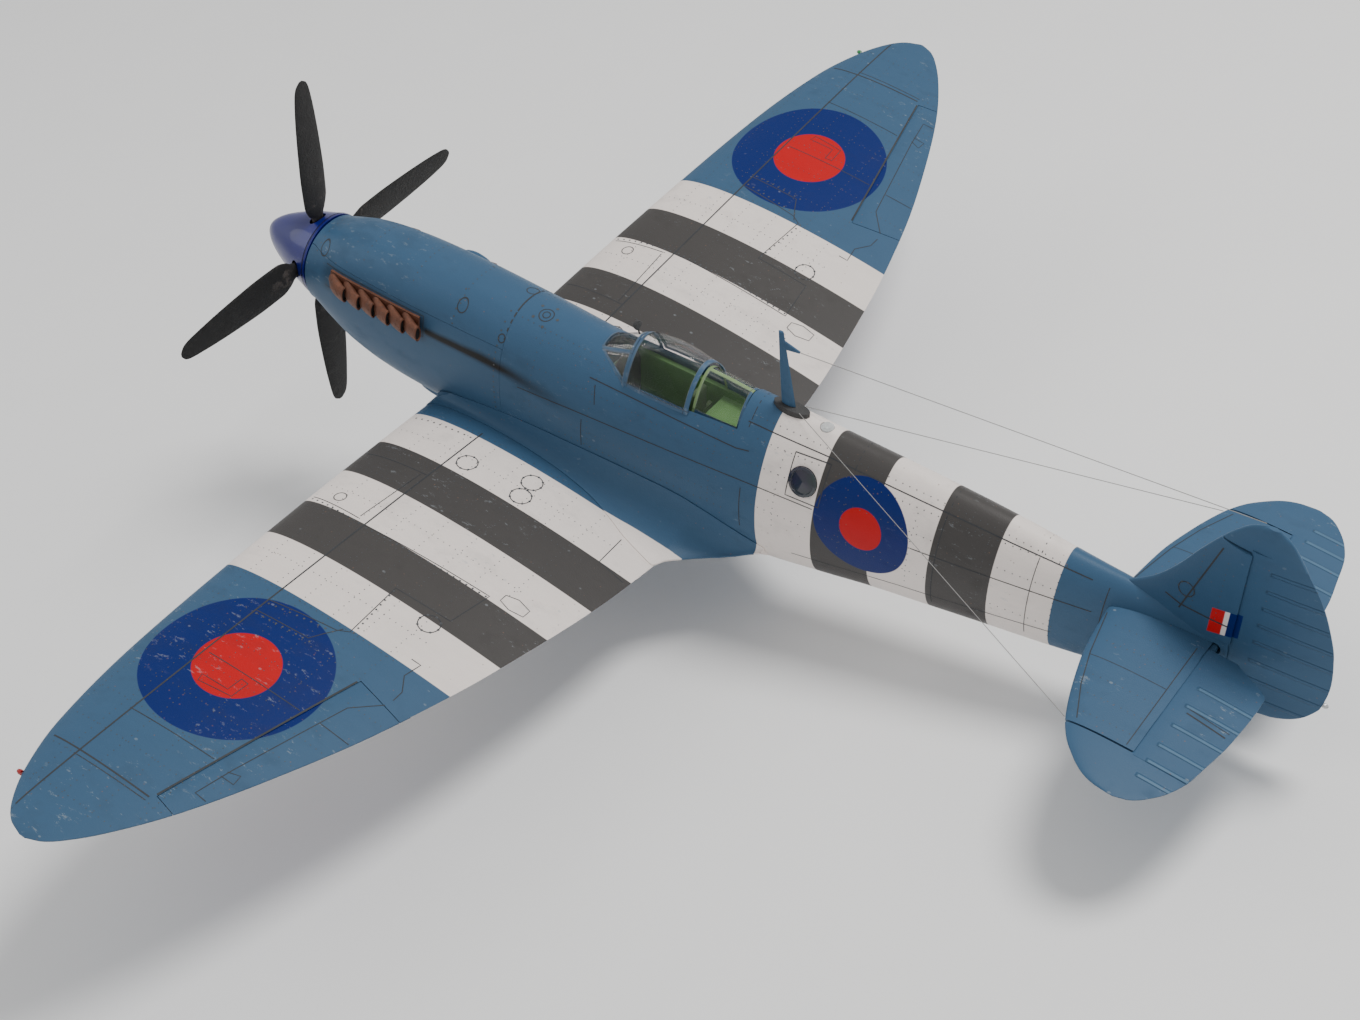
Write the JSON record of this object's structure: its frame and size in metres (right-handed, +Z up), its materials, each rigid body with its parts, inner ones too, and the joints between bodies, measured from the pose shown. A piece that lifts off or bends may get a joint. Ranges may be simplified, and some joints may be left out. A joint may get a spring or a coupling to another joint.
{
  "type": "radio-controlled warbird model airplane",
  "caption": "Electric model of a single-engined fighter with an elliptical low wing, sliding canopy, movable control surfaces and retracting main landing gear.",
  "frame": {"origin": "on the ground plane under the middle of the model's bounding box, standing on its three wheels", "axes": "+X towards the port wing tip, +Y aft towards the tail, +Z up; the fuselage's datum is nose-up by 13 degrees"},
  "size_m": [1.397, 1.158, 0.4959],
  "materials": {
    "grey_blue_paint": "satin paint over moulded foam and plastic",
    "deep_blue_paint": "semi-gloss paint",
    "black_paint": "matt paint",
    "dark_plastic": "satin moulded plastic",
    "stained_metal": "heat-stained metallic paint",
    "motor_winding": "enamelled winding",
    "interior_green": "matt interior paint",
    "seat_leather": "dark padded seat",
    "clear_plastic": "clear vacuum-formed plastic",
    "bright_steel": "turned and brushed",
    "tyre_rubber": "matt rubber on a turned hub",
    "carbon_tube": "pultruded carbon",
    "red_lens": "clear coloured lens",
    "green_lens": "clear coloured lens",
    "silver_lens": "frosted lens",
    "battery_wrap": "shrink wrap",
    "pale_wire": "thin braided line"
  },
  "bodies": {
    "airframe": {"aerial_mast": "dark_plastic", "aerial_wire_fin": "pale_wire", "aerial_wire_left": "pale_wire", "aerial_wire_right": "pale_wire", "aileron_servo_left": "dark_plastic", "aileron_servo_right": "dark_plastic", "battery_pack": "battery_wrap", "belly_fairing": "grey_blue_paint", "camera_window": "dark_plastic", "cockpit_tub": "interior_green", "elevator_servo": "dark_plastic", "exhaust_left": "stained_metal", "exhaust_right": "stained_metal", "fin": "grey_blue_paint", "fuselage_shell": "grey_blue_paint", "instrument_panel": "black_paint", "lower_cowl": "grey_blue_paint", "mast_base": "dark_plastic", "motor_stator": "motor_winding", "nav_light_left": "red_lens", "nav_light_right": "green_lens", "pilot_seat": "seat_leather", "radiator_left": "grey_blue_paint", "radiator_right": "grey_blue_paint", "rear_glazing": "clear_plastic", "receiver": "dark_plastic", "rudder_servo": "dark_plastic", "spar_tube": "carbon_tube", "speed_controller": "dark_plastic", "spine_light": "clear_plastic", "tailplane": "grey_blue_paint", "top_hatch": "grey_blue_paint", "windscreen": "clear_plastic", "wing_fillet_left": "grey_blue_paint", "wing_fillet_right": "grey_blue_paint", "wing_left": "grey_blue_paint", "wing_right": "grey_blue_paint"},
    "propeller": {"motor_bell": "bright_steel", "spinner_backplate": "deep_blue_paint", "spinner": "deep_blue_paint", "prop_blade_1": "black_paint", "prop_blade_2": "black_paint", "prop_blade_3": "black_paint", "prop_blade_4": "black_paint"},
    "canopy": {"canopy_hood": "clear_plastic"},
    "aileron_left": {"aileron_left": "grey_blue_paint"},
    "aileron_right": {"aileron_right": "grey_blue_paint"},
    "flap_left": {"flap_left": "grey_blue_paint"},
    "flap_right": {"flap_right": "grey_blue_paint"},
    "elevator": {"elevator": "grey_blue_paint"},
    "rudder": {"rudder": "grey_blue_paint", "tail_light": "silver_lens"},
    "gear_left": {"gear_leg_left": "bright_steel", "gear_door_left": "grey_blue_paint"},
    "gear_right": {"gear_leg_right": "bright_steel", "gear_door_right": "grey_blue_paint"},
    "wheel_left": {"wheel_left": "tyre_rubber"},
    "wheel_right": {"wheel_right": "tyre_rubber"},
    "tail_leg": {"tail_wheel_leg": "bright_steel"},
    "tail_wheel": {"tail_wheel": "tyre_rubber"}
  },
  "joints": [
    {"name": "propeller_spin", "type": "hinge", "parent": "airframe", "child": "propeller", "pos_m": [0, -0.51257, 0.29589], "axis": [0, 0.9744, -0.225], "continuous": true},
    {"name": "canopy_slide", "type": "slide", "parent": "airframe", "child": "canopy", "axis": [0, 0.9744, -0.225], "range_m": [0, 0.058]},
    {"name": "aileron_left_hinge", "type": "hinge", "parent": "airframe", "child": "aileron_left", "pos_m": [0.4004, -0.13739, 0.16399], "axis": [0.974, -0.1713, 0.1482], "range_deg": [-20, 20]},
    {"name": "aileron_right_hinge", "type": "hinge", "parent": "airframe", "child": "aileron_right", "pos_m": [-0.4004, -0.13739, 0.16399], "axis": [-0.974, -0.1713, 0.1482], "range_deg": [-20, 20]},
    {"name": "flap_left_hinge", "type": "hinge", "parent": "airframe", "child": "flap_left", "pos_m": [0.12074, -0.10828, 0.11541], "axis": [-0.9836, 0.1035, -0.1479], "range_deg": [0, 60]},
    {"name": "flap_right_hinge", "type": "hinge", "parent": "airframe", "child": "flap_right", "pos_m": [-0.12074, -0.10828, 0.11541], "axis": [-0.9836, -0.1035, 0.1479], "range_deg": [0, 60]},
    {"name": "elevator_hinge", "type": "hinge", "parent": "airframe", "child": "elevator", "pos_m": [0, 0.47603, 0.11608], "axis": [1, 0, 0], "range_deg": [-22, 22]},
    {"name": "rudder_hinge", "type": "hinge", "parent": "airframe", "child": "rudder", "pos_m": [0, 0.49044, 0.11275], "axis": [0, 0.225, 0.9744], "range_deg": [-28, 28]},
    {"name": "tail_leg_steer", "type": "hinge", "parent": "airframe", "child": "tail_leg", "pos_m": [0, 0.37246, 0.05085], "axis": [0, 0.225, 0.9744], "range_deg": [-28, 28]},
    {"name": "tail_wheel_spin", "type": "hinge", "parent": "tail_leg", "child": "tail_wheel", "pos_m": [0, 0.38057, 0.01476], "axis": [1, 0, 0], "continuous": true},
    {"name": "gear_left_retract", "type": "hinge", "parent": "airframe", "child": "gear_left", "pos_m": [0.0961, -0.27697, 0.15147], "axis": [0, -0.9744, 0.225], "range_deg": [0, 91.3]},
    {"name": "gear_right_retract", "type": "hinge", "parent": "airframe", "child": "gear_right", "pos_m": [-0.0961, -0.27697, 0.15147], "axis": [0, 0.9744, -0.225], "range_deg": [0, 91.3]},
    {"name": "wheel_left_spin", "type": "hinge", "parent": "gear_left", "child": "wheel_left", "pos_m": [0.11857, -0.30593, 0.03697], "axis": [0.9968, 0.018, 0.0781], "continuous": true},
    {"name": "wheel_right_spin", "type": "hinge", "parent": "gear_right", "child": "wheel_right", "pos_m": [-0.11857, -0.30593, 0.03697], "axis": [-0.9968, 0.018, 0.0781], "continuous": true}
  ],
  "couplings": [
    {"joint": "aileron_right_hinge", "follows": "aileron_left_hinge", "ratio": 1},
    {"joint": "flap_right_hinge", "follows": "flap_left_hinge", "ratio": 1},
    {"joint": "tail_leg_steer", "follows": "rudder_hinge", "ratio": 1},
    {"joint": "gear_right_retract", "follows": "gear_left_retract", "ratio": 1}
  ]
}
